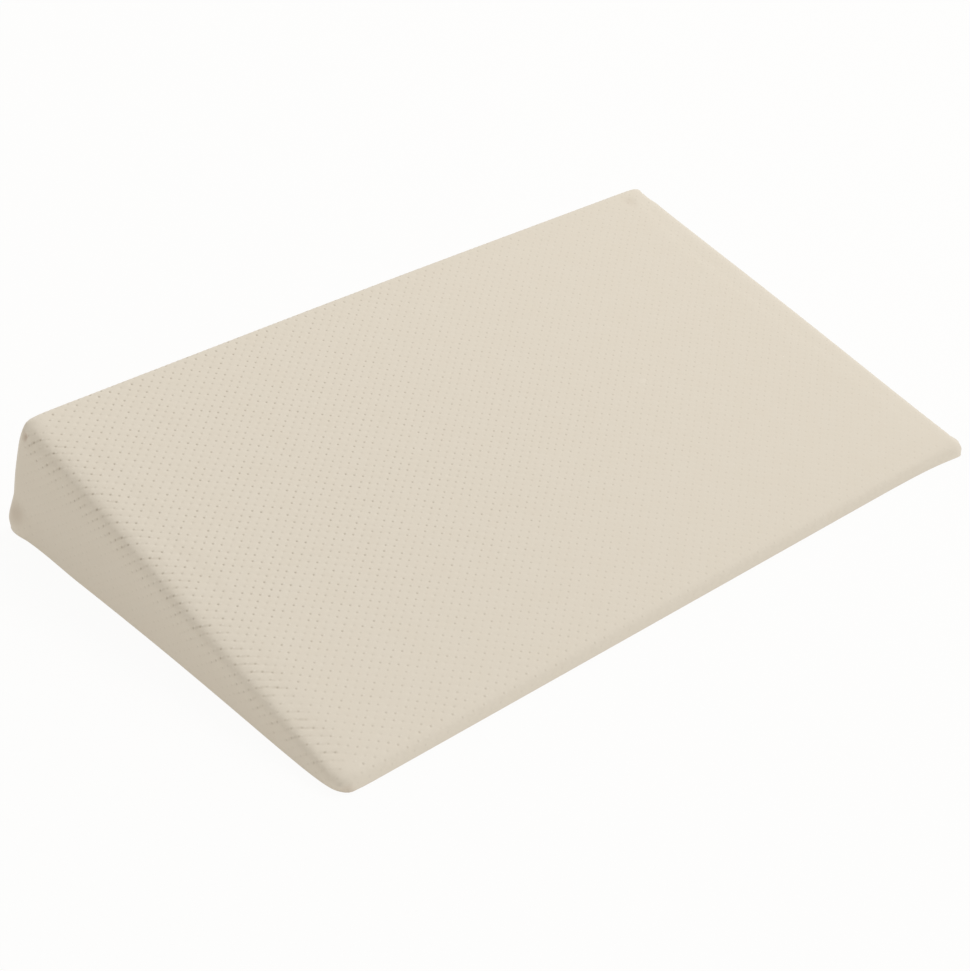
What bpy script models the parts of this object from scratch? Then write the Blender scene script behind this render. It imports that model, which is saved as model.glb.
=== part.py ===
"""Wedge pillow: a foam wedge in a close knitted cover, lying on its flat base.

Metres, +Z up. X runs along the high back edge, Y from the thin front edge to the back,
and the origin is the middle of the base. The cover is drawn tight over the foam all
round, so the pillow is one filled solid: a coarse cage of the wedge, softened.
"""

from collections import namedtuple

import bmesh
import bpy
from mathutils import Matrix, Vector

# Driving dimensions of the cage, whose edges the cloth then rounds over
WIDTH = 0.600
DEPTH = 0.348
BACK_HEIGHT = 0.0945
FRONT_HEIGHT = 0.010

# How far from an edge the cloth starts to bend over it
BACK_BEND = 0.022
FRONT_BEND = 0.0195
SEAM_BEND = 0.010

# What the drawn cloth and the soft foam do to the plain wedge
TOP_CROWN = 0.0015
RIDGE_CROWN = 0.0022
SIDE_BELLY = 0.0047
DRAW_IN = 0.0024
SIDE_LEAN = 0.008
END_LEAN = 0.0125

# Cells of the cage across the width, along the slope and up the side
COLUMNS, ROWS, LAYERS = 8, 6, 3
SMOOTHING = 2

# The highest share of the local height that a bend may take up on a wall
MOST_OF_WALL = 0.35

# Where the cloth stands out at the four corners, or is drawn in if negative. Side and end are
# the corner's signs along X and Y. The ear is at the base seam; wall and top go both ways.
Corner = namedtuple("Corner", "side end ear_x ear_y wall top")
CORNERS = (
    Corner(-1, +1, ear_x=+0.0035, ear_y=0.0100, wall=0.0052, top=-0.0016),
    Corner(+1, +1, ear_x=+0.0035, ear_y=0.0060, wall=0.0020, top=-0.0005),
    Corner(-1, -1, ear_x=-0.0038, ear_y=0.0000, wall=0.0000, top=-0.0010),
    Corner(+1, -1, ear_x=+0.0030, ear_y=0.0090, wall=0.0040, top=-0.0012),
)

COVER_COLOUR = (0.73, 0.66, 0.56, 1.0)
COVER_ROUGHNESS = 0.95


def clear_scene():
    for obj in list(bpy.data.objects):
        bpy.data.objects.remove(obj, do_unlink=True)


def cover_material():
    """Matt cream knit."""
    material = bpy.data.materials.new("knitted_cover")
    material.use_nodes = True
    shader = material.node_tree.nodes["Principled BSDF"]
    shader.inputs["Base Color"].default_value = COVER_COLOUR
    shader.inputs["Roughness"].default_value = COVER_ROUGHNESS
    shader.inputs["Metallic"].default_value = 0.0
    return material


def cut_box(cells):
    """A box cut into whole cells along each axis, with its corners at whole numbers."""
    cage = bmesh.new()
    bmesh.ops.create_cube(cage, size=1.0, matrix=Matrix.Translation((0.5, 0.5, 0.5)))
    bmesh.ops.scale(cage, vec=Vector(cells), verts=cage.verts)
    for axis, count in enumerate(cells):
        across = Vector((axis == 0, axis == 1, axis == 2))
        for place in range(1, count):
            everything = cage.verts[:] + cage.edges[:] + cage.faces[:]
            bmesh.ops.bisect_plane(cage, geom=everything, plane_co=across * place, plane_no=across)
    return cage


def station(index, count, length, low_bend, high_bend):
    """Place of a cut along a centred length: the outermost cells are as wide as the bends."""
    if index == 0:
        return -length / 2
    if index == count:
        return length / 2
    low, high = -length / 2 + low_bend, length / 2 - high_bend
    return low + (high - low) * (index - 1) / (count - 2)


def belly(share):
    """1 at the middle of a side, falling smoothly to 0 at its corners, where share is -1 or 1."""
    return (1 - share * share) ** 2


def cage_point(column, row, layer):
    """The real place of one point of the cage, from its whole-number place in the cut box."""
    y = station(row, ROWS, DEPTH, FRONT_BEND, BACK_BEND)
    up_slope = y / DEPTH + 0.5
    bend = FRONT_BEND + (BACK_BEND - FRONT_BEND) * up_slope
    x = station(column, COLUMNS, WIDTH, bend, bend)
    side = (column == COLUMNS) - (column == 0)
    end = (row == ROWS) - (row == 0)
    across, along = belly(2 * x / WIDTH), belly(2 * y / DEPTH)

    height = FRONT_HEIGHT + (BACK_HEIGHT - FRONT_HEIGHT) * up_slope
    over_seam = min(SEAM_BEND, MOST_OF_WALL * height)
    under_top = height - min(bend, MOST_OF_WALL * height)
    z = (0.0, over_seam, under_top, height)[layer]

    # The walls lean in as they rise, and the back leans more than the sides.
    rise = z / BACK_HEIGHT
    x -= side * SIDE_LEAN * rise
    y -= end * END_LEAN * rise
    if layer == LAYERS:
        z += TOP_CROWN * across * along
        x += side * SIDE_BELLY * along
        if end > 0:
            z += RIDGE_CROWN * across
    if layer == 0:
        x -= side * DRAW_IN * along
        if end > 0:
            y -= DRAW_IN * across

    for corner in CORNERS:
        if (side, end) == (corner.side, corner.end):
            x += side * (corner.ear_x, corner.wall, corner.wall, corner.top)[layer]
            y += end * (corner.ear_y, corner.wall, corner.wall, corner.top)[layer]
    return Vector((x, y, z))


def crease_base_seam(cage):
    """Keeps the seam round the base a sharp line, and so the base inside it flat."""
    crease = cage.edges.layers.float.new("crease_edge")
    for edge in cage.edges:
        if sum(face.normal.z < -0.5 for face in edge.link_faces) == 1:
            edge[crease] = 1.0


def wedge_pillow(collection):
    cage = cut_box((COLUMNS, ROWS, LAYERS))
    for vert in cage.verts:
        vert.co = cage_point(*(round(place) for place in vert.co))
    cage.normal_update()
    crease_base_seam(cage)

    mesh = bpy.data.meshes.new("wedge_pillow")
    cage.to_mesh(mesh)
    cage.free()
    mesh.materials.append(cover_material())
    mesh.shade_smooth()
    pillow = bpy.data.objects.new("wedge_pillow", mesh)
    collection.objects.link(pillow)

    soften = pillow.modifiers.new("soft_foam", "SUBSURF")
    soften.levels = SMOOTHING
    soften.render_levels = SMOOTHING
    return pillow


def main():
    clear_scene()
    collection = bpy.data.collections.new("wedge_pillow")
    bpy.context.scene.collection.children.link(collection)
    wedge_pillow(collection)


main()
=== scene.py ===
# %% [markdown]
# A wedge pillow: a foam wedge in a close knitted cover, lying on a pale floor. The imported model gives
# its true size and place. Everything here is in metres, with X along the high back edge, Y from the
# thin front edge to the back and Z up. The base lies on Z = 0.

# %% Load the frame
import math
from collections import namedtuple
from functools import partial

import bmesh
import bpy
import numpy as np
from mathutils import Matrix, Vector
from mathutils.bvhtree import BVHTree
from mathutils.geometry import barycentric_transform, delaunay_2d_cdt
from mathutils.kdtree import KDTree


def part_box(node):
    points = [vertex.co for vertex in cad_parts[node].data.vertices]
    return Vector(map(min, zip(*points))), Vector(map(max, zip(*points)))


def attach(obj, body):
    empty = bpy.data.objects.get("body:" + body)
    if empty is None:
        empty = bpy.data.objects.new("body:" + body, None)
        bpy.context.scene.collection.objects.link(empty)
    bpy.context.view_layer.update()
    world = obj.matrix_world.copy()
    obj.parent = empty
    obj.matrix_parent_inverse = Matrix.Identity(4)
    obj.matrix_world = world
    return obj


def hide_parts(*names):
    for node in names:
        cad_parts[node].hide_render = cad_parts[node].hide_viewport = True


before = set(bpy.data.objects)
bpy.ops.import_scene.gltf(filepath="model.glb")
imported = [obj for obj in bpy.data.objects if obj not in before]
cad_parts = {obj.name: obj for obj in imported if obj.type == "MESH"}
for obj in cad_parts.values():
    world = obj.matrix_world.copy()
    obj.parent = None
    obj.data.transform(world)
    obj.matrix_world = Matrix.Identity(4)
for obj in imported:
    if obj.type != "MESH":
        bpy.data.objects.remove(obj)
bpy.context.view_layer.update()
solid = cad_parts["wedge_pillow"]
low, high = (Vector(corner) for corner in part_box("wedge_pillow"))
scene = bpy.context.scene
print("pillow from", [round(n, 4) for n in low], "to", [round(n, 4) for n in high])

# %% [markdown]
# The camera stands in front of the pillow's left end and looks down on it. A long lens keeps the far
# edge nearly as long as the near one. Its place and turn were found by laying the outline of the
# model over the outline of the real pillow until they agreed. The photograph is 970 x 971 pixels.

# %% Camera
PHOTO_HEIGHT = 971
FOCAL_PIXELS = 2080.0
EYE = Vector((-0.88375, -0.85528, 0.82362))
CAMERA_RIGHT = Vector((0.730492, -0.680560, 0.056740))
CAMERA_UP = Vector((0.345257, 0.439714, 0.829126))
CAMERA_BACK = Vector((-0.589219, -0.586080, 0.556175))


def photo_camera():
    lens = bpy.data.cameras.new("photo_camera")
    lens.sensor_width = 36.0
    lens.lens = FOCAL_PIXELS * lens.sensor_width / PHOTO_HEIGHT
    lens.clip_start = 0.05
    camera = bpy.data.objects.new("photo_camera", lens)
    scene.collection.objects.link(camera)
    turn = Matrix((CAMERA_RIGHT, CAMERA_UP, CAMERA_BACK)).transposed()
    camera.matrix_world = Matrix.Translation(EYE) @ turn.to_4x4()
    return camera


scene.camera = photo_camera()
print("lens of", round(scene.camera.data.lens, 2), "mm at", [round(n, 3) for n in EYE])

# %% [markdown]
# The light and the finishes are node trees, so two small helpers come first. One adds a node, and joins
# or sets its sockets by name or number. The other adds a Math node and hands back its result.

# %% Helpers for node trees
def node(tree, kind, settings=None, **sockets):
    """Adds a node. A socket is given by its name with _ for a space, or by _ and its number."""
    made = tree.nodes.new(kind)
    for key, value in (settings or {}).items():
        setattr(made, key, value)
    for key, value in sockets.items():
        number = key.lstrip("_")
        socket = made.inputs[int(number)] if number.isdigit() else made.inputs[key.replace("_", " ")]
        if isinstance(value, bpy.types.NodeSocket):
            tree.links.new(value, socket)
        else:
            socket.default_value = value
    return made


def math_of(tree, operation, *values):
    """The result of a Math node on values or outputs."""
    sockets = {f"_{number}": value for number, value in enumerate(values)}
    return node(tree, "ShaderNodeMath", {"operation": operation}, **sockets).outputs[0]


# %% [markdown]
# The floor is a wide pale disc. The picture has a pure white ground with hardly a shadow, so what the
# camera sees of the floor is nearly all glow. The pillow gets the light that a pale floor throws back,
# and a little glow more, as on a lit table, so its walls don't darken towards the ground.

# %% Floor
FLOOR_RADIUS = 12.0
FLOOR_COLOUR = (0.93, 0.915, 0.88, 1.0)
GROUND_WHITE = (0.992, 0.990, 0.985, 1.0)
SHADOW_SEEN = 0.06
FLOOR_FILL = 0.45
FLOOR_GAP = 0.0002


def pale_floor():
    disc = bmesh.new()
    bmesh.ops.create_circle(disc, cap_ends=True, segments=96, radius=FLOOR_RADIUS)
    mesh = bpy.data.meshes.new("floor")
    disc.to_mesh(mesh)
    disc.free()
    paint = bpy.data.materials.new("pale_floor")
    paint.use_nodes = True
    tree = paint.node_tree
    shader = tree.nodes["Principled BSDF"]
    shader.inputs["Base Color"].default_value = FLOOR_COLOUR
    shader.inputs["Roughness"].default_value = 0.9
    shader.inputs["Specular IOR Level"].default_value = 0.0
    seen = node(tree, "ShaderNodeLightPath").outputs["Is Camera Ray"]
    share = node(tree, "ShaderNodeMapRange", Value=seen, To_Min=FLOOR_FILL, To_Max=1.0 - SHADOW_SEEN)
    glow = node(tree, "ShaderNodeEmission", Color=GROUND_WHITE, Strength=1.0)
    both = node(tree, "ShaderNodeMixShader", _0=share.outputs["Result"],
                _1=shader.outputs["BSDF"], _2=glow.outputs["Emission"])
    tree.links.new(both.outputs[0], tree.nodes["Material Output"].inputs["Surface"])
    mesh.materials.append(paint)
    floor = bpy.data.objects.new("floor", mesh)
    floor.location.z = -FLOOR_GAP
    scene.collection.objects.link(floor)
    return floor


floor = pale_floor()

# %% [markdown]
# The light is that of a white studio: pale light from all round except from the left, and one large
# soft lamp above. That is why the left end of the pillow is in a soft, slightly warmer shade, while
# the thin front edge and the back edge are nearly as bright as the top.

# %% Light
SKY_OPEN = (0.84, 0.845, 0.85, 1.0)
SKY_LEFT = (0.32, 0.29, 0.25, 1.0)
HORIZON_GAIN = 0.30
LAMP_PLACE = Vector((1.3, 0.2, 2.4))
LAMP_SIZE = 1.2
LAMP_POWER = 16.0
LAMP_COLOUR = (1.0, 0.985, 0.965)


def studio_light():
    world = bpy.data.worlds.new("studio")
    world.use_nodes = True
    tree = world.node_tree
    sky = tree.nodes["Background"]
    view = node(tree, "ShaderNodeTexCoord").outputs["Generated"]
    way = node(tree, "ShaderNodeSeparateXYZ", Vector=view)
    openness = node(tree, "ShaderNodeMapRange", Value=way.outputs["X"], From_Min=-1.0, From_Max=0.0)
    colour = node(tree, "ShaderNodeMix", {"data_type": "RGBA"}, _0=openness.outputs["Result"],
                  _6=SKY_LEFT, _7=SKY_OPEN)
    low_down = node(tree, "ShaderNodeMapRange", Value=way.outputs["Z"],
                    To_Min=1.0 + HORIZON_GAIN, To_Max=1.0)
    tree.links.new(colour.outputs[2], sky.inputs["Color"])
    tree.links.new(low_down.outputs["Result"], sky.inputs["Strength"])
    backdrop = node(tree, "ShaderNodeBackground", Color=GROUND_WHITE)
    seen = node(tree, "ShaderNodeLightPath").outputs["Is Camera Ray"]
    either = node(tree, "ShaderNodeMixShader", _0=seen,
                  _1=sky.outputs["Background"], _2=backdrop.outputs["Background"])
    tree.links.new(either.outputs["Shader"], tree.nodes["World Output"].inputs["Surface"])
    scene.world = world

    lamp = bpy.data.lights.new("soft_lamp", "AREA")
    lamp.shape = "DISK"
    lamp.size = LAMP_SIZE
    lamp.energy = LAMP_POWER
    lamp.color = LAMP_COLOUR
    holder = bpy.data.objects.new("soft_lamp", lamp)
    holder.location = LAMP_PLACE
    holder.rotation_euler = (-LAMP_PLACE).to_track_quat("-Z", "Y").to_euler()
    scene.collection.objects.link(holder)


studio_light()
scene.view_settings.view_transform = "Standard"
print("one soft lamp of", LAMP_POWER, "W in a pale sky that is darker on the left")

# %% [markdown]
# The pillow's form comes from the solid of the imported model. Its mesh is loose triangles, so a copy of
# it is joined up, turned back into four-sided faces and subdivided, which gives a smooth form without
# facets. Triangles are paired only within one side, so the seam round the base stays a line of edges.
# These are creased, which keeps the line sharp.

# %% Smooth form
JOINED_WITHIN = 1e-5
SAME_SIDE = math.radians(40)
FLAT_DOWN = -0.7
SMOOTHER = 2


def finished(obj, subdivisions=0):
    """Applies what modifiers the object has, and a subdivision if asked."""
    if obj.name not in scene.collection.objects:
        scene.collection.objects.link(obj)
    if subdivisions:
        smooth = obj.modifiers.new("smooth", "SUBSURF")
        smooth.levels = smooth.render_levels = subdivisions
    seen = obj.evaluated_get(bpy.context.evaluated_depsgraph_get())
    plain = bpy.data.meshes.new_from_object(seen)
    old = obj.data
    obj.modifiers.clear()
    obj.data = plain
    bpy.data.meshes.remove(old)
    return obj


def form_of(packed):
    """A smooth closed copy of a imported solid, for measuring only."""
    joined = bmesh.new()
    joined.from_mesh(packed.data)
    bmesh.ops.remove_doubles(joined, verts=joined.verts, dist=JOINED_WITHIN)
    bmesh.ops.join_triangles(joined, faces=joined.faces, angle_face_threshold=SAME_SIDE,
                             angle_shape_threshold=math.pi)
    joined.normal_update()
    crease = joined.edges.layers.float.new("crease_edge")
    for edge in joined.edges:
        if sum(face.normal.z < FLAT_DOWN for face in edge.link_faces) == 1:
            edge[crease] = 1.0
    mesh = bpy.data.meshes.new("form")
    joined.to_mesh(mesh)
    joined.free()
    return finished(bpy.data.objects.new("form", mesh), subdivisions=SMOOTHER)


form = form_of(solid)
face_sides = [len(face.vertices) for face in form.data.polygons]
print("smooth form of", len(face_sides), "faces, with", face_sides.count(3), "triangles")

# %% [markdown]
# The cover is drawn tight over soft foam, so its faces swell a little between the seams. Cloth
# simulation shows where: a copy of the form is made of even cloth, a pressure inside pushes it out
# for a few frames, and how far each place went is read off. Only a part of that is kept, where the
# cloth rose more than it did on the whole, because the solid has the crown that was measured already.

# %% Swell of the foam
CLOTH_GRAIN = 0.006
CLOTH_FRAMES = 20
CLOTH_PRESSURE = 4.0
CLOTH_QUALITY = 5
HELD_BELOW = CLOTH_GRAIN * 0.7
MOST_SWELL = 0.006
KEPT_SWELL = 0.0007
NEIGHBOURS = 12
FULL_SWELL_ABOVE = 0.012


def swell_map(source):
    """Places on the form and how far the cloth rose there, from -1 to 1."""
    cloth = bpy.data.objects.new("swelling", source.data.copy())
    scene.collection.objects.link(cloth)
    grain = cloth.modifiers.new("grain", "REMESH")
    grain.mode = "VOXEL"
    grain.voxel_size = CLOTH_GRAIN
    finished(cloth)
    start = np.array([v.co[:] for v in cloth.data.vertices])
    normals = np.array([v.normal[:] for v in cloth.data.vertices])
    pressed = cloth.modifiers.new("pressed", "CLOTH")
    pressed.settings.use_pressure = True
    pressed.settings.uniform_pressure_force = CLOTH_PRESSURE
    pressed.settings.effector_weights.gravity = 0.0
    pressed.settings.quality = CLOTH_QUALITY
    held = cloth.vertex_groups.new(name="held")
    held.add([int(i) for i in np.flatnonzero(start[:, 2] < HELD_BELOW)], 1.0, "REPLACE")
    pressed.settings.vertex_group_mass = "held"
    pressed.point_cache.frame_start = 1
    pressed.point_cache.frame_end = CLOTH_FRAMES
    for number in range(1, CLOTH_FRAMES + 1):
        scene.frame_set(number)
    finished(cloth)
    moved = np.array([v.co[:] for v in cloth.data.vertices]) - start
    scene.frame_set(1)
    bpy.data.objects.remove(cloth)
    rise = np.clip((moved * normals).sum(axis=1), -MOST_SWELL, MOST_SWELL)
    print("cloth rose by", [round(float(n) * 1000, 2) for n in (rise.min(), rise.mean(), rise.max())], "mm")
    return start, (rise - rise.mean()) / MOST_SWELL


places, rises = swell_map(form)
near = KDTree(len(places))
for index, place in enumerate(places):
    near.insert(place, index)
near.balance()
swell = []
for vertex in form.data.vertices:
    found = near.find_n(vertex.co, NEIGHBOURS)
    weights = [1.0 / (distance + CLOTH_GRAIN) for _, _, distance in found]
    level = max(0.0, sum(w * rises[i] for w, (_, i, _) in zip(weights, found)) / sum(weights))
    above_seam = min(1.0, vertex.co.z / FULL_SWELL_ABOVE)
    swell.append(vertex.normal * (KEPT_SWELL * level * above_seam))
for vertex, move in zip(form.data.vertices, swell):
    vertex.co += move
print("largest move kept:", round(max(move.length for move in swell) * 1000, 2), "mm")

# %% [markdown]
# The cover is one piece of jacquard knit over the top and the four sides, closed by a seam at each
# corner and by a seam round the base, where a plain panel is let in. To draw the knit at its true
# scale, the form is unrolled: each place on it gets its distance across and up the cloth, as if the
# cover had been cut open at the corners and laid flat. The slope is measured first, because the knit
# lies along it.

# %% Slope
SLOPE_REACH = 0.1


def spot_on_top(x, y):
    """The place on top of the form, looking down on it."""
    return form_tree.ray_cast(Vector((x, y, 1.0)), Vector((0, 0, -1)))[0]


def along_slope(points):
    """Across, up the slope and square to it, for rows of world coordinates."""
    x, y, z = points.T
    up_slope = y * math.cos(SLOPE) + z * math.sin(SLOPE)
    off_slope = z * math.cos(SLOPE) - y * math.sin(SLOPE)
    return np.stack((x, up_slope, off_slope), axis=1)


form.data.calc_loop_triangles()
form_points = np.array([v.co[:] for v in form.data.vertices])
form_triangles = np.array([t.vertices[:] for t in form.data.loop_triangles])
form_facing = np.array([t.normal[2] for t in form.data.loop_triangles])
form_tree = BVHTree.FromPolygons(form_points.tolist(), form_triangles.tolist())
lower, upper = spot_on_top(0, -SLOPE_REACH), spot_on_top(0, SLOPE_REACH)
SLOPE = math.atan2(upper.z - lower.z, upper.y - lower.y)
laid = along_slope(form_points)
print("slope of", round(math.degrees(SLOPE), 2), "degrees")


# %% Flaps
BEND_RADIUS = 0.0125
MIDDLE_BAND = 0.05
AT_FOLD = 0.003
WALL_START = 0.004
HALF_TURN_SINE = 0.7071068


class Flap:
    """One side of the cover, hanging from a fold of the top: its axis is 0 across and 1 up the slope."""

    def __init__(self, axis, sign, lean, wall):
        self.axis, self.sign, self.lean = axis, sign, lean
        middle = np.abs(laid[:, 1 - axis]) < MIDDLE_BAND
        reach = (laid[middle, axis] * sign).max()
        self.fold = float(reach - max(0.0, lean) * wall) - BEND_RADIUS
        at_fold = middle & (np.abs(laid[:, axis] * sign - self.fold) < AT_FOLD)
        self.level = float(laid[at_fold, 2].max())

    def past_fold(self, places):
        """How far out past the fold and how far down below it each place is."""
        drop = np.maximum(0.0, self.level - places[:, 2])
        out = places[:, self.axis] * self.sign - self.fold - self.lean * drop
        return out, drop

    def unrolled(self, places):
        """Across and up the flat cloth, with the bend and the wall laid out past the fold."""
        out, drop = self.past_fold(places)
        steps = np.maximum(0.0, out) + drop * np.clip(out / WALL_START, 0.0, 1.0)
        sine = np.clip((steps / BEND_RADIUS - 1) / math.sqrt(2), -HALF_TURN_SINE, HALF_TURN_SINE)
        turn = math.pi / 4 + np.arcsin(sine)
        length = BEND_RADIUS * turn + np.maximum(0.0, steps - 2 * BEND_RADIUS)
        flat = places[:, :2].copy()
        flat[:, self.axis] = self.sign * (self.fold + np.where(out > 0, length, out))
        return flat


flaps = {
    "left": Flap(axis=0, sign=-1, lean=0.085, wall=0.03),
    "right": Flap(axis=0, sign=+1, lean=0.085, wall=0.03),
    "back": Flap(axis=1, sign=+1, lean=-0.108, wall=0.09),
    "front": Flap(axis=1, sign=-1, lean=0.387, wall=0.006),
}
for name, flap in flaps.items():
    print(name, "folds at", round(flap.fold * 1000, 1), "mm, level", round(flap.level * 1000, 1), "mm")


# %% [markdown]
# Now the cutting lines. The base seam is where the flat base meets the walls. Each corner seam runs
# over the rounded corner and down to the base, where the two flaps beside it are equally far past
# their folds. Both are read off the form as rows of evenly spaced places.

# %% Seams
SEAM_STEP = 0.0022
PAST_FOLD = 0.0005
DROP_WEIGHT = 1.5
CORNER_NAMES = (("right", "back"), ("left", "back"), ("left", "front"), ("right", "front"))


def evenly(points, step=SEAM_STEP):
    """The same line with evenly spaced places, its two ends kept."""
    lengths = np.concatenate(([0.0], np.cumsum(np.linalg.norm(np.diff(points, axis=0), axis=1))))
    count = max(2, int(round(lengths[-1] / step)) + 1)
    stops = np.linspace(0.0, lengths[-1], count)
    return np.stack([np.interp(stops, lengths, points[:, axis]) for axis in range(3)], axis=1)


def calmed(line, rounds=4):
    """The same line without its small zigzags, its two ends kept."""
    for _ in range(rounds):
        line[1:-1] = (line[:-2] + 2 * line[1:-1] + line[2:]) / 4
    return line


def crossings(values, pairs):
    """Where a value that is known at the form's points crosses zero on its edges."""
    one, other = pairs[(values[pairs[:, 0]] > 0) != (values[pairs[:, 1]] > 0)].T
    share = values[one] / (values[one] - values[other])
    return form_points[one] + share[:, None] * (form_points[other] - form_points[one])


in_base = form_facing < FLAT_DOWN
base_triangles, wall_triangles = form_triangles[in_base], form_triangles[~in_base]
wall_sides = np.concatenate([wall_triangles[:, pair] for pair in ([0, 1], [1, 2], [0, 2])])
wall_edges = np.unique(np.sort(wall_sides, axis=1), axis=0)
rim = np.array(sorted(set(base_triangles.ravel()) & set(wall_triangles.ravel())))
rim = rim[np.argsort(np.arctan2(form_points[rim, 1] / high.y, form_points[rim, 0] / high.x))]
rim_points = form_points[rim]


def seam_of(side, end):
    """Places down one corner, from where both folds start to the base."""
    out_side, _ = flaps[side].past_fold(laid)
    out_end, _ = flaps[end].past_fold(laid)
    line = crossings(out_side - out_end, wall_edges)
    out, drop = flaps[side].past_fold(along_slope(line))
    past = out > PAST_FOLD
    line = line[past][np.argsort((out + DROP_WEIGHT * drop)[past])]
    nearest = int(np.argmin(np.linalg.norm(rim_points - line[-1], axis=1)))
    return line, nearest


found_seams = {corner: seam_of(*corner) for corner in CORNER_NAMES}
for corner, (line, nearest) in found_seams.items():
    gap = np.linalg.norm(rim_points[nearest] - line[-1])
    print(*corner, "seam of", len(line), "places, ends", round(float(gap) * 1000, 1), "mm from the rim")


# %% The cover's outline laid flat
SIDE_ORDER = (
    ("front", ("left", "front"), ("right", "front")),
    ("right", ("right", "front"), ("right", "back")),
    ("back", ("right", "back"), ("left", "back")),
    ("left", ("left", "back"), ("left", "front")),
)


def corner_fold(corner):
    """Where a corner seam starts: on the top, where both folds begin."""
    side, end = (flaps[name] for name in corner)
    return side.sign * side.fold, end.sign * end.fold


def on_form(across, up):
    """The place on top of the form that is this far across and up the slope."""
    level = flaps["back"].level
    y = up * math.cos(SLOPE) - level * math.sin(SLOPE)
    z = up * math.sin(SLOPE) + level * math.cos(SLOPE)
    return np.array(form_tree.find_nearest(Vector((across, y, z)))[0][:])


seam_lines, seam_ends = {}, {}
for corner, (line, nearest) in found_seams.items():
    whole = np.vstack((on_form(*corner_fold(corner)), line, rim_points[nearest]))
    seam_lines[corner] = calmed(evenly(whole))
    seam_ends[corner] = nearest


def flat_seam(corner, name):
    """One corner seam on the flat cloth, as the named flap has it."""
    flat = flaps[name].unrolled(along_slope(seam_lines[corner]))
    flat[0] = corner_fold(corner)
    return flat


# %% [markdown]
# At the high back corners the two flaps part like a dart. At the low front corners the cloth is only
# stretched over the corner, so there both sides of the seam are drawn to the line between them, and
# the cloth near it is eased along, less and less over a few centimetres.

# %% Easing at the front corners
EASE = 0.025
closed = {}
for corner in CORNER_NAMES:
    if "front" in corner:
        sides = {name: flat_seam(corner, name) for name in corner}
        middle = sum(sides.values()) / 2
        closed[corner] = (middle, {name: flat - middle for name, flat in sides.items()})


def eased(places, name, way):
    """Moves flat places near a closed seam: way is 1 from the shared cloth to the flap, -1 back."""
    moved = places.copy()
    for middle, pulls in closed.values():
        if name in pulls:
            gaps = np.linalg.norm(places[:, None] - middle[None], axis=2)
            nearest = gaps.argmin(axis=1)
            strength = np.maximum(0.0, 1 - gaps.min(axis=1) / EASE) ** 2
            moved += way * strength[:, None] * pulls[name][nearest]
    return moved


outline_flat, outline_world, rim_world = [], [], []
for name, first, last in SIDE_ORDER:
    start, stop = seam_ends[first], seam_ends[last]
    if start < stop:
        along = evenly(rim_points[start:stop + 1])
    else:
        along = evenly(np.vstack((rim_points[start:], rim_points[:stop + 1])))
    flat = eased(flaps[name].unrolled(along_slope(along)), name, -1)
    rim_world.append(along[:-1])
    if first in closed:
        flat[0] = closed[first][0][-1]
    else:
        flat = np.vstack((flat_seam(first, name)[1:-1], flat))
        along = np.vstack((seam_lines[first][1:-1], along))
    if last in closed:
        flat, along = flat[:-1], along[:-1]
    else:
        flat = np.vstack((flat, flat_seam(last, name)[-2::-1]))
        along = np.vstack((along, seam_lines[last][-2::-1]))
    outline_flat.append(flat)
    outline_world.append(along)
outline_flat, outline_world = np.vstack(outline_flat), np.vstack(outline_world)
rim_world = np.vstack(rim_world)
inner_flat = np.vstack([middle[:-1] for middle, _ in closed.values()])
inner_world = np.vstack([seam_lines[corner][:-1] for corner in closed])
print("flat cover of", np.round(np.ptp(outline_flat, axis=0) * 1000), "mm, outline of",
      len(outline_flat), "places")

# %% [markdown]
# The knit is a jacquard with small pits in rows that are offset by half a cell. Where the cloth bends
# over the left edge, the ribs between the rows stand up. The mesh of the cover is made for it: each pit
# has a place at its middle and four round its rim, two more lie between it and its neighbours and one
# stands on the cloth between. Two rows of plain places follow each seam, so that the cloth turns evenly
# there. A Delaunay triangulation joins them up on the flat cloth, and then each place is looked up on
# the form, which rolls the cloth back on. The rows of the knit wander a little.

# %% Places of the knit
CELL_ACROSS = 0.0088
CELL_UP = 0.0071
PIT_RADIUS = 0.00085
BORDER_ROWS = (0.0013, 0.0028)
STILL_APART = 0.8
CLEAR_OF_SEAM = 0.0038
PIT_CLEAR_OF_SEAM = 0.0046
WANDER = 0.0003
# How deep each kind of place lies on the flat, and how much deeper where the cloth bends
PIT_MIDDLE = (1.0, 0.4)
PIT_RIM = (0.3, 0.4)
DOWN_ROW = (0.03, 0.9)
UP_ROW = (0.03, 0.0)
PUFF = (-0.15, -0.5)


def seam_gaps(places, flat_outline, flat_inner):
    """How far each place on the flat cloth is from the nearest seam."""
    before = np.roll(flat_outline, 1, axis=0)
    posts = [before * share + flat_outline * (1 - share) for share in (0, 0.25, 0.5, 0.75)]
    posts = np.vstack(posts + [flat_inner])
    fence = KDTree(len(posts))
    for index, place in enumerate(posts):
        fence.insert((*place, 0.0), index)
    fence.balance()
    return np.array([fence.find((*place, 0.0))[2] for place in places])


def inward(outline):
    """The direction into the cloth at each place of its outline."""
    along = np.roll(outline, -1, axis=0) - np.roll(outline, 1, axis=0)
    return np.stack((-along[:, 1], along[:, 0]), axis=1) / np.linalg.norm(along, axis=1)[:, None]


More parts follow.
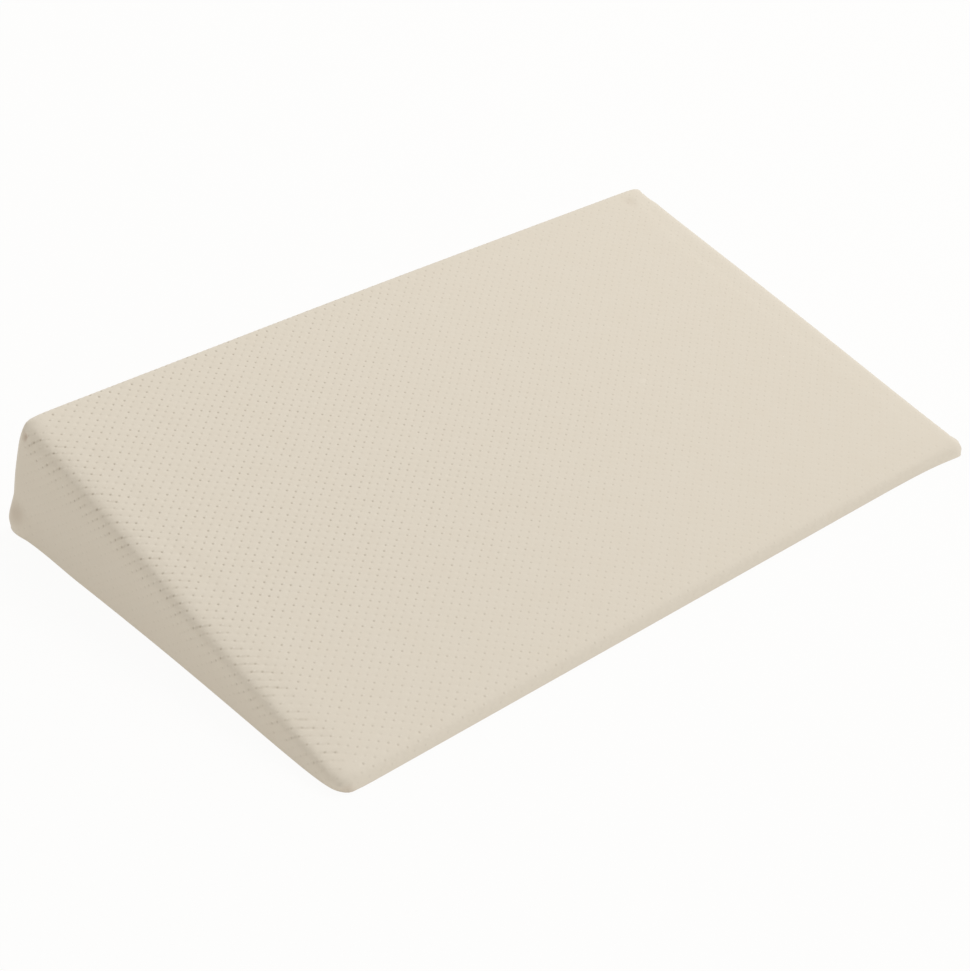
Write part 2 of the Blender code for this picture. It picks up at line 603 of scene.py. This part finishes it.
def knit_places(flat_outline, flat_inner):
    """Places on the flat cloth and how deep each lies, on the flat and more at a bend."""
    spans = np.abs(flat_outline).max(axis=0)
    columns, rows = (int(span / cell * 2) + 1 for span, cell in zip(spans, (CELL_ACROSS, CELL_UP)))
    i, j = np.meshgrid(np.arange(-columns, columns + 1), np.arange(-rows, rows + 1))
    pit = (i + j) % 2 == 0
    middles = np.stack((i[pit] * CELL_ACROSS / 2, j[pit] * CELL_UP / 2), axis=1)

    def clear(spots):
        return seam_gaps(spots, flat_outline, flat_inner)

    open_pit = clear(middles) > PIT_CLEAR_OF_SEAM
    shape = [((0, 0), PIT_MIDDLE, open_pit)]
    for a, b in ((1, 0), (-1, 0), (0, 1), (0, -1)):
        shape.append(((a * PIT_RADIUS, b * PIT_RADIUS), PIT_RIM, open_pit))
    shape.append(((CELL_ACROSS / 4, CELL_UP / 4), UP_ROW, None))
    shape.append(((CELL_ACROSS / 4, -CELL_UP / 4), DOWN_ROW, None))
    shape.append(((CELL_ACROSS / 2, 0.0), PUFF, None))

    places, depths = [], []
    for offset, depth, allowed in shape:
        spots = middles + offset
        keep = clear(spots) > CLEAR_OF_SEAM if allowed is None else allowed
        places.append(spots[keep])
        depths.append(np.tile(depth, (int(keep.sum()), 1)))
    for gap in BORDER_ROWS:
        row = flat_outline + inward(flat_outline) * gap
        row = row[clear(row) > STILL_APART * gap]
        places.append(row)
        depths.append(np.zeros((len(row), 2)))
    return np.vstack(places), np.vstack(depths)


def wandering(places):
    """A slow sideways drift of the knit's rows."""
    x, y = places.T * 1000
    across = np.sin(x / 5.1 + y / 3.7) + np.sin(y / 7.3 - x / 11.0)
    up = np.sin(x / 4.3 - y / 6.1) + np.sin(x / 9.7)
    return np.stack((across, up), axis=1) * WANDER / 2


knit_flat, knit_depth = knit_places(outline_flat, inner_flat)
pit_count = int((knit_depth[:, 0] == PIT_MIDDLE[0]).sum())
print(len(knit_flat), "places for the knit,", pit_count, "pits before the cut")


# %% Rolling the cloth back on
SEAM_OVERLAP = 0.006
CUT_CLOSENESS = 1e-7


def flat_lookup(name):
    """The form's triangles near one flap, flat, with a tree to find them."""
    flap = flaps[name]
    past = {key: other.past_fold(laid)[0][form_triangles].mean(axis=1) for key, other in flaps.items()}
    rivals = np.maximum(*(past[key] for key, other in flaps.items() if other.axis != flap.axis))
    kept = form_triangles[~in_base & (rivals - past[name] < SEAM_OVERLAP)]
    flat = np.column_stack((flap.unrolled(laid), np.zeros(len(laid))))
    return kept, flat, BVHTree.FromPolygons(flat.tolist(), kept.tolist())


lookups = {name: flat_lookup(name) for name in flaps}


def flap_at(across, up):
    """The flap that a flat place is on: the one whose fold it is farthest past."""
    side, end = ("left" if across < 0 else "right"), ("front" if up < 0 else "back")
    past_side, past_end = abs(across) - flaps[side].fold, abs(up) - flaps[end].fold
    return side if past_side >= past_end else end


def rolled_on(across, up):
    """The place on the form of a place on the flat cloth."""
    name = flap_at(across, up)
    kept, flat, tree = lookups[name]
    place = (across, up)
    if up < EASE - flaps["front"].fold:
        place = eased(np.array([[across, up]]), name, 1)[0]
    spot, _, index, _ = tree.find_nearest(Vector((*place, 0.0)))
    on_flat = [Vector(flat[n]) for n in kept[index]]
    on_pillow = [Vector(form_points[n]) for n in kept[index]]
    return barycentric_transform(spot, *on_flat, *on_pillow)


def inside(places, outline):
    """Which places lie within the outline, by how often a line to the side crosses it."""
    (x1, y1), (x2, y2) = outline.T, np.roll(outline, -1, axis=0).T
    x, y = places[:, :1], places[:, 1:]
    spans = (y1 > y) != (y2 > y)
    meets = x1 + (y - y1) * (x2 - x1) / np.where(y1 == y2, 1.0, y2 - y1)
    return (spans & (x < meets)).sum(axis=1) % 2 == 1


def net_of(places, ring_length):
    """A Delaunay net of flat places that start with a ring, and where each of its places came from."""
    points = [Vector(place) for place in places.tolist()]
    ring = list(range(ring_length))
    found, _, faces, came_from, *_ = delaunay_2d_cdt(points, [], [ring], 1, CUT_CLOSENESS, True)
    return np.array([place[:] for place in found]), np.array(faces), came_from


fixed_flat = np.vstack((outline_flat, inner_flat))
fixed_world = np.vstack((outline_world, inner_world))
cut_flat, cut_faces, came_from = net_of(np.vstack((fixed_flat, knit_flat)), len(outline_flat))
centres = cut_flat[cut_faces].mean(axis=1)
within = np.concatenate([inside(part, outline_flat) for part in np.array_split(centres, 40)])
used, cloth_faces = np.unique(cut_faces[within], return_inverse=True)
cloth_faces = cloth_faces.reshape(-1, 3)
cloth_flat = cut_flat[used]
sources = np.array([came_from[index][0] if came_from[index] else -1 for index in used])
print(len(cloth_faces), "triangles in the cover,", int((sources < 0).sum()), "places added by the cut")

fixed_count = len(fixed_flat)
cloth_world = np.array([
    fixed_world[source] if 0 <= source < fixed_count else rolled_on(*place)[:]
    for source, place in zip(sources, cloth_flat + wandering(cloth_flat))
])
of_knit = sources >= fixed_count
cloth_depths = np.where(of_knit[:, None], knit_depth[np.maximum(0, sources - fixed_count)], 0.0)


# %% [markdown]
# The cloth is drawn flatter to the right, to the front, on the walls and at the seams, so the pits stand out
# less there. The ribs stand up only where the cloth bends over the left edge. The first strength also scales
# the painted shade of the pits and the painted highlight of the loops, and the second scales the painted
# shade of the rib lines.

# %% How strongly the knit stands out
TIGHT_END = 0.35
FRONT_RELIEF = 0.62
WALL_RELIEF = 0.25
SEAM_RELIEF = 0.15
# Where each change starts and stops, on the flat cloth
TO_TIGHT_END = (-0.26, 0.26)
TO_FRONT = (0.0, 0.14)
TO_WALL = (0.010, 0.026)
FROM_SEAM = (0.001, 0.009)
INTO_BEND = (-0.009, 0.005)
OUT_OF_BEND = (0.012, 0.032)
TO_BEND_ENDS = (-0.004, 0.006)


def smooth_step(value, span):
    """0 before the span, 1 after it, and smooth between."""
    share = np.clip((value - span[0]) / (span[1] - span[0]), 0.0, 1.0)
    return share * share * (3 - 2 * share)


def down_to(least, share):
    """1 where the share is 0, and the least where it is 1."""
    return 1 - (1 - least) * share


def relief_strengths(flat):
    """How strongly the pits stand out at each place, and how strongly the ribs do."""
    past_left = -flat[:, 0] - flaps["left"].fold
    on_bend = smooth_step(past_left, INTO_BEND) * (1 - smooth_step(past_left, OUT_OF_BEND))
    for end in (flaps["back"], flaps["front"]):
        on_bend *= 1 - smooth_step(flat[:, 1] * end.sign - end.fold, TO_BEND_ENDS)
    past = np.max([flat[:, flap.axis] * flap.sign - flap.fold for flap in flaps.values()], axis=0)
    on_wall = smooth_step(past, TO_WALL) * (1 - on_bend)
    along = down_to(TIGHT_END, smooth_step(flat[:, 0], TO_TIGHT_END))
    along *= down_to(FRONT_RELIEF, smooth_step(-flat[:, 1], TO_FRONT))
    clear = smooth_step(seam_gaps(flat, outline_flat, inner_flat), FROM_SEAM)
    return along * down_to(WALL_RELIEF, on_wall) * down_to(SEAM_RELIEF, 1 - clear), on_bend * clear


cloth_relief, cloth_bend = relief_strengths(cloth_flat)
cloth_depth = cloth_depths[:, 0] * cloth_relief + cloth_depths[:, 1] * cloth_bend

# %% [markdown]
# Four corners aren't the plain meeting of three faces. The cloth stands out as a small ear, is tucked
# in, or has a pucker where a seam ends. Each is one soft pull on the cloth: it is strongest at its place
# and ends at its reach. A pucker is also darker, because light doesn't get into it.

# %% Pulls at the corners
ON_GROUND = 1e-6
Pull = namedtuple("Pull", "place reach move shade")
PULLS = (
    Pull((-0.3005, 0.1660, 0.0130), 0.019, (-0.0037, 0.0, 0.0), 0.0),
    Pull((-0.3005, 0.1500, 0.0000), 0.055, (0.0014, 0.0, 0.0), 0.0),
    Pull((-0.3000, 0.1630, 0.0185), 0.011, (0.0008, -0.0005, 0.0), 0.22),
    Pull((-0.2900, 0.1380, 0.0800), 0.034, (-0.0020, 0.0, 0.0004), 0.0),
    Pull((-0.2949, 0.1558, 0.0802), 0.0050, (0.0014, -0.0010, 0.0), 0.65),
    Pull((-0.2935, -0.1720, 0.0000), 0.008, (0.0009, -0.0008, 0.0), 0.25),
    Pull((0.2955, -0.1735, 0.0055), 0.011, (0.0036, -0.0013, 0.0), 0.0),
    Pull((0.2985, -0.1764, 0.0000), 0.006, (-0.0008, 0.0004, 0.0), 0.0),
    Pull((0.2935, 0.1490, 0.0830), 0.011, (-0.0015, 0.0, -0.0012), 0.0),
    Pull((0.2655, 0.1475, 0.0865), 0.010, (0.0, 0.0, -0.0007), 0.08),
)


def pulled(places):
    """The places after the pulls, and how dark each is made by them."""
    moved, shades = places.copy(), np.zeros(len(places))
    for pull in PULLS:
        gaps = np.linalg.norm(places - np.array(pull.place), axis=1)
        strength = np.maximum(0.0, 1 - (gaps / pull.reach) ** 2) ** 2
        moved += strength[:, None] * np.array(pull.move)
        shades = np.maximum(shades, strength * pull.shade)
    moved[:, 2] = np.where(places[:, 2] < ON_GROUND, places[:, 2], np.maximum(0.0, moved[:, 2]))
    print("pulls move the cloth by up to", round(float(np.abs(moved - places).max()) * 1000, 2), "mm")
    return moved, shades


# %% [markdown]
# The base is a plain panel of the same knit, let in at the seam. It is joined to the cover at the rim,
# so the whole cover is one closed skin. Its places on the flat cloth are kept as a UV map in metres,
# and how deep each place lies in its pit is kept beside it.

# %% The closed cover
BASE_GRID = 0.011
BASE_SHIFT = 142 * CELL_UP
SEWN_WITHIN = 2e-5


def base_panel(rim):
    """Places and triangles of the flat base, facing up."""
    xs, ys = (np.arange(-span, span, BASE_GRID) for span in (high.x, high.y))
    grid = np.stack(np.meshgrid(xs, ys), axis=-1).reshape(-1, 2)
    grid = grid[inside(grid, rim[:, :2])]
    gaps = np.array([np.linalg.norm(rim[:, :2] - place, axis=1).min() for place in grid])
    found, faces, _ = net_of(np.vstack((rim[:, :2], grid[gaps > BASE_GRID / 2])), len(rim))
    faces = faces[inside(found[faces].mean(axis=1), rim[:, :2])]
    return np.column_stack((found, np.zeros(len(found)))), faces


def closed_cover():
    """The cover with its base panel as one mesh, with the flat cloth's map and the four strengths."""
    base_world, base_faces = base_panel(rim_world)
    places, shades = pulled(np.vstack((cloth_world, base_world)))
    faces = np.vstack((cloth_faces, base_faces[:, ::-1] + len(cloth_world)))
    cloth_map = np.vstack((cloth_flat, base_world[:, :2] * (1, -1) - (0.0, BASE_SHIFT)))
    reliefs = np.concatenate((cloth_relief, np.full(len(base_world), WALL_RELIEF)))
    bends = np.concatenate((cloth_bend, np.zeros(len(base_world))))
    depths = np.concatenate((cloth_depth, np.zeros(len(base_world))))
    mesh = bpy.data.meshes.new("knitted_cover")
    mesh.from_pydata(places.tolist(), [], faces.tolist())
    fabric = mesh.uv_layers.new(name="fabric")
    fabric.data.foreach_set("uv", cloth_map[faces.ravel()].ravel())
    for name, values in {"pit": depths, "relief": reliefs, "bend": bends, "shade": shades}.items():
        mesh.attributes.new(name, "FLOAT", "POINT").data.foreach_set("value", values)
    skin = bmesh.new()
    skin.from_mesh(mesh)
    bmesh.ops.remove_doubles(skin, verts=skin.verts, dist=SEWN_WITHIN)
    skin.normal_update()
    for edge in skin.edges:
        edge.smooth = sum(face.normal.z < FLAT_DOWN for face in edge.link_faces) != 1
    open_edges = sum(not edge.is_manifold for edge in skin.edges)
    skin.to_mesh(mesh)
    skin.free()
    mesh.polygons.foreach_set("use_smooth", [True] * len(mesh.polygons))
    print("cover of", len(mesh.polygons), "triangles, open edges:", open_edges)
    return mesh


cover_mesh = closed_cover()

# %% [markdown]
# Geometry Nodes press the pits. Every place carries its depth: 1 in the middle of a pit and less than
# 0 on the raised cloth between. The tree moves each place along its normal by that share of the pit's
# depth, and makes no two pits quite alike.

# %% Pressing the pits
PIT_DEPTH = 0.00050
PIT_UNEVENNESS = 0.35
KNIT_SEED = 7


def tree_with(name, kind, inputs, outputs):
    """A node tree whose named sockets are given as (name, type, default)."""
    tree = bpy.data.node_groups.new(name, kind)
    for in_out, sockets in (("INPUT", inputs), ("OUTPUT", outputs)):
        for label, socket_type, *default in sockets:
            socket = tree.interface.new_socket(label, in_out=in_out, socket_type="NodeSocket" + socket_type)
            if default:
                socket.default_value = default[0]
    return tree, node(tree, "NodeGroupInput"), node(tree, "NodeGroupOutput")


def pit_tree():
    tree, given, result = tree_with("press_pits", "GeometryNodeTree", [
        ("Geometry", "Geometry"), ("Pit Depth", "Float", 0.0005), ("Unevenness", "Float", 0.3),
        ("Seed", "Int", 0), ("Material", "Material")], [("Geometry", "Geometry")])
    depth = node(tree, "GeometryNodeInputNamedAttribute", {"data_type": "FLOAT"}, Name="pit")
    least = math_of(tree, "SUBTRACT", 1.0, given.outputs["Unevenness"])
    most = math_of(tree, "ADD", 1.0, given.outputs["Unevenness"])
    varied = node(tree, "FunctionNodeRandomValue", {"data_type": "FLOAT"}, _2=least, _3=most,
                  Seed=given.outputs["Seed"])
    share = math_of(tree, "MULTIPLY", depth.outputs["Attribute"], varied.outputs[1])
    sunk = math_of(tree, "MULTIPLY", share, given.outputs["Pit Depth"])
    outward = node(tree, "GeometryNodeInputNormal").outputs["Normal"]
    push = node(tree, "ShaderNodeVectorMath", {"operation": "SCALE"}, Vector=outward,
                Scale=math_of(tree, "MULTIPLY", sunk, -1.0))
    moved = node(tree, "GeometryNodeSetPosition", Geometry=given.outputs["Geometry"], Offset=push.outputs[0])
    whole = node(tree, "GeometryNodeRealizeInstances", Geometry=moved.outputs["Geometry"])
    painted = node(tree, "GeometryNodeSetMaterial", Geometry=whole.outputs["Geometry"],
                   Material=given.outputs["Material"])
    tree.links.new(painted.outputs["Geometry"], result.inputs["Geometry"])
    return tree


def with_tree(obj, tree, **values):
    """Runs a geometry tree on an object, with its named inputs set, and keeps the result as its mesh."""
    modifier = obj.modifiers.new(tree.name, "NODES")
    modifier.node_group = tree
    for item in tree.interface.items_tree:
        label = item.name.replace(" ", "_")
        if item.item_type == "SOCKET" and item.in_out == "INPUT" and label in values:
            modifier[item.identifier] = values[label]
    return finished(obj)


# %% [markdown]
# The knit's finish follows the flat cloth too. One node group draws where the yarn lies: the pits, where the
# light doesn't reach, the loop that stands beside each pit, the lines between the ribs and the fine columns
# of stitches. It gives masks and a height. The material turns them into bump and into colour: painted shade
# in the pits and along the rib lines, and a painted highlight on the loops.

# %% Knit pattern group
LOOP_BESIDE = (0.0017, -0.0003)
LOOP_SIZE = 0.85
RIB_LINE_WIDTH = 0.28
YARN_SWING = 0.25


def knit_group():
    """A shader group that draws the stitches on the flat cloth, as masks and a height."""
    tree, given, result = tree_with("knit_stitches", "ShaderNodeTree", [
        ("Fabric", "Vector"), ("Cell Across", "Float", 0.0088), ("Cell Up", "Float", 0.0071),
        ("Pit Radius", "Float", 0.001), ("Stitch", "Float", 0.0011)],
        [("Pit", "Float"), ("Loop", "Float"), ("Yarn", "Float"), ("Rib Line", "Float")])
    math_node = partial(math_of, tree)
    axes = node(tree, "ShaderNodeSeparateXYZ", Vector=given.outputs["Fabric"])
    across, up = axes.outputs["X"], axes.outputs["Y"]

    def from_nearest(shift_across, shift_up):
        """How far a place is from the nearest point of the staggered lattice, in metres."""
        distances = []
        for half in (0.0, 0.5):
            squares = []
            for axis, shift, cell in ((across, shift_across, "Cell Across"), (up, shift_up, "Cell Up")):
                moved = math_node("SUBTRACT", axis, shift)
                cells = math_node("ADD", math_node("DIVIDE", moved, given.outputs[cell]), 0.5 + half)
                offset = math_node("SUBTRACT", math_node("FRACT", cells), 0.5)
                squares.append(math_node("POWER", math_node("ABSOLUTE", math_node(
                    "MULTIPLY", offset, given.outputs[cell])), 2.0))
            distances.append(math_node("SQRT", math_node("ADD", *squares)))
        return math_node("MINIMUM", *distances)

    def spot(distance, radius):
        """1 at the middle, falling smoothly to 0 at the radius."""
        ranged = node(tree, "ShaderNodeMapRange", {"interpolation_type": "SMOOTHSTEP"}, Value=distance,
                      From_Max=radius, To_Min=1.0, To_Max=0.0)
        return ranged.outputs["Result"]

    pit = spot(from_nearest(0.0, 0.0), given.outputs["Pit Radius"])
    loop = spot(from_nearest(*LOOP_BESIDE), math_node("MULTIPLY", given.outputs["Pit Radius"], LOOP_SIZE))
    row = math_node("ADD", math_node("DIVIDE", across, given.outputs["Cell Across"]),
                    math_node("DIVIDE", up, given.outputs["Cell Up"]))
    from_line = math_node("SUBTRACT", math_node("FRACT", math_node("ADD", row, 0.5)), 0.5)
    rib_line = spot(math_node("ABSOLUTE", from_line), RIB_LINE_WIDTH)
    columns = math_node("DIVIDE", across, given.outputs["Stitch"])
    slant = math_node("ABSOLUTE", math_node("SUBTRACT", math_node("FRACT", columns), 0.5))
    rows = math_node("ADD", math_node("DIVIDE", up, given.outputs["Stitch"]), slant)
    waves = [math_node("SINE", math_node("MULTIPLY", count, 2 * math.pi)) for count in (columns, rows)]
    swings = [math_node("MULTIPLY", wave, YARN_SWING) for wave in waves]
    yarn = math_node("ADD", math_node("ADD", *swings), 0.5)
    for label, value in {"Pit": pit, "Loop": loop, "Yarn": yarn, "Rib Line": rib_line}.items():
        tree.links.new(value, result.inputs[label])
    return tree


knit = knit_group()

# %% [markdown]
# Cream cotton is never one colour: it varies slowly from place to place. On top of that comes painted shade,
# a darker warm colour in the pits, along the rib lines and in the puckers, and a painted highlight, a paler
# colour on the loops. The pits aren't alike either: the knit closes over some of them. A little sheen stands
# for the fuzz of the yarn.

# %% Cover material
YARN_COLOUR = (0.763, 0.697, 0.592, 1.0)
# Painted shade: the dark warm colour put in the pits and along the rib lines, where light doesn't reach
PIT_SHADE_COLOUR = (0.34, 0.28, 0.20, 1.0)
# Painted highlight: the pale colour of the lit loop beside each pit
LOOP_HIGHLIGHT_COLOUR = (0.90, 0.86, 0.78, 1.0)
# Painted shade: the dark colour put into the puckers and creases at the corners
PUCKER_SHADE_COLOUR = (0.36, 0.23, 0.15, 1.0)
WARMER = (0.97, 0.955, 0.93, 1.0)
FUZZ_SHADOW = (0.86, 0.86, 0.86, 1.0)
PIT_SPOT = 0.00115
YARN_STITCH = 0.00110
BUMP_REACH = 0.0003
# How far each takes the colour of the yarn to its own
PATCH_SHARE, FUZZ_SHARE, RIB_SHADE_SHARE, LOOP_HIGHLIGHT_SHARE, PIT_SHADE_SHARE = 0.7, 0.25, 0.24, 0.35, 0.60
# How high each stands
YARN_HEIGHT, LOOP_HEIGHT = 0.35, 0.5


def toned(colour, factors):
    return tuple(part * factor for part, factor in zip(colour, factors))


def knitted_cover_material():
    """Matt cream knit, drawn on the flat cloth's map."""
    paint = bpy.data.materials.new("knitted_cover")
    paint.use_nodes = True
    tree = paint.node_tree
    shader = tree.nodes["Principled BSDF"]
    flat = node(tree, "ShaderNodeUVMap", {"uv_map": "fabric"})
    relief, bend, shade = (node(tree, "ShaderNodeAttribute", {"attribute_name": name}).outputs["Fac"]
                           for name in ("relief", "bend", "shade"))
    stitches = node(tree, "ShaderNodeGroup", {"node_tree": knit}, Fabric=flat.outputs["UV"],
                    Cell_Across=CELL_ACROSS, Cell_Up=CELL_UP, Pit_Radius=PIT_SPOT, Stitch=YARN_STITCH)
    patches = node(tree, "ShaderNodeTexNoise", Vector=flat.outputs["UV"], Scale=55.0, Detail=3.0)
    openness = node(tree, "ShaderNodeTexNoise", Vector=flat.outputs["UV"], Scale=130.0, Detail=1.0)
    fuzz = node(tree, "ShaderNodeTexNoise", Vector=flat.outputs["UV"], Scale=900.0, Detail=2.0)

    def mixed(share, first, second):
        blend = node(tree, "ShaderNodeMix", {"data_type": "RGBA"}, _0=share, _6=first, _7=second)
        return blend.outputs[2]

    def times(first, second):
        return math_of(tree, "MULTIPLY", first, second)

    open_pit = node(tree, "ShaderNodeMapRange", {"interpolation_type": "SMOOTHSTEP"},
                    Value=openness.outputs["Fac"], From_Min=0.36, From_Max=0.64,
                    To_Min=0.12, To_Max=1.0).outputs["Result"]
    seen = times(relief, open_pit)
    in_patch = node(tree, "ShaderNodeMapRange", Value=patches.outputs["Fac"], From_Min=0.40, From_Max=0.60,
                    To_Min=0.3, To_Max=1.0).outputs["Result"]
    # Painted shade along the rib lines where the cloth bends over the left edge
    rib_shade = times(times(bend, stitches.outputs["Rib Line"]), times(open_pit, in_patch))
    body = mixed(times(patches.outputs["Fac"], PATCH_SHARE), YARN_COLOUR, toned(YARN_COLOUR, WARMER))
    body = mixed(times(fuzz.outputs["Fac"], FUZZ_SHARE), body, toned(YARN_COLOUR, FUZZ_SHADOW))
    # Painted shade in the grooves between the ribs, in the pit's dark colour
    body = mixed(times(rib_shade, RIB_SHADE_SHARE), body, PIT_SHADE_COLOUR)
    # Painted highlight on the loop beside each pit; the loop is also raised in the bump
    body = mixed(times(times(stitches.outputs["Loop"], LOOP_HIGHLIGHT_SHARE), seen), body, LOOP_HIGHLIGHT_COLOUR)
    # Painted shade in the pits, weaker where the relief strength is low
    body = mixed(times(times(stitches.outputs["Pit"], PIT_SHADE_SHARE), seen), body, PIT_SHADE_COLOUR)
    # Painted shade in the puckers, as strong as each pull's shade
    body = mixed(shade, body, PUCKER_SHADE_COLOUR)
    tree.links.new(body, shader.inputs["Base Color"])

    yarn_up = times(stitches.outputs["Yarn"], YARN_HEIGHT)
    loop_up = times(stitches.outputs["Loop"], LOOP_HEIGHT)
    height = math_of(tree, "SUBTRACT", math_of(tree, "ADD", yarn_up, loop_up), stitches.outputs["Pit"])
    bump = node(tree, "ShaderNodeBump", Strength=0.4, Distance=BUMP_REACH, Height=times(height, relief))
    tree.links.new(bump.outputs["Normal"], shader.inputs["Normal"])
    shader.inputs["Roughness"].default_value = 0.95
    shader.inputs["Specular IOR Level"].default_value = 0.15
    shader.inputs["Sheen Weight"].default_value = 0.25
    shader.inputs["Sheen Roughness"].default_value = 0.5
    shader.inputs["Sheen Tint"].default_value = (1.0, 0.97, 0.92, 1.0)
    return paint


cover_paint = knitted_cover_material()

# %% The finished cover
cover = bpy.data.objects.new("pillow_cover", cover_mesh)
scene.collection.objects.link(cover)
with_tree(cover, pit_tree(), Pit_Depth=PIT_DEPTH, Unevenness=PIT_UNEVENNESS, Seed=KNIT_SEED,
          Material=cover_paint)
bpy.data.objects.remove(form)
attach(cover, "root")
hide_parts("wedge_pillow")
print("finished cover:", len(cover.data.polygons), "triangles")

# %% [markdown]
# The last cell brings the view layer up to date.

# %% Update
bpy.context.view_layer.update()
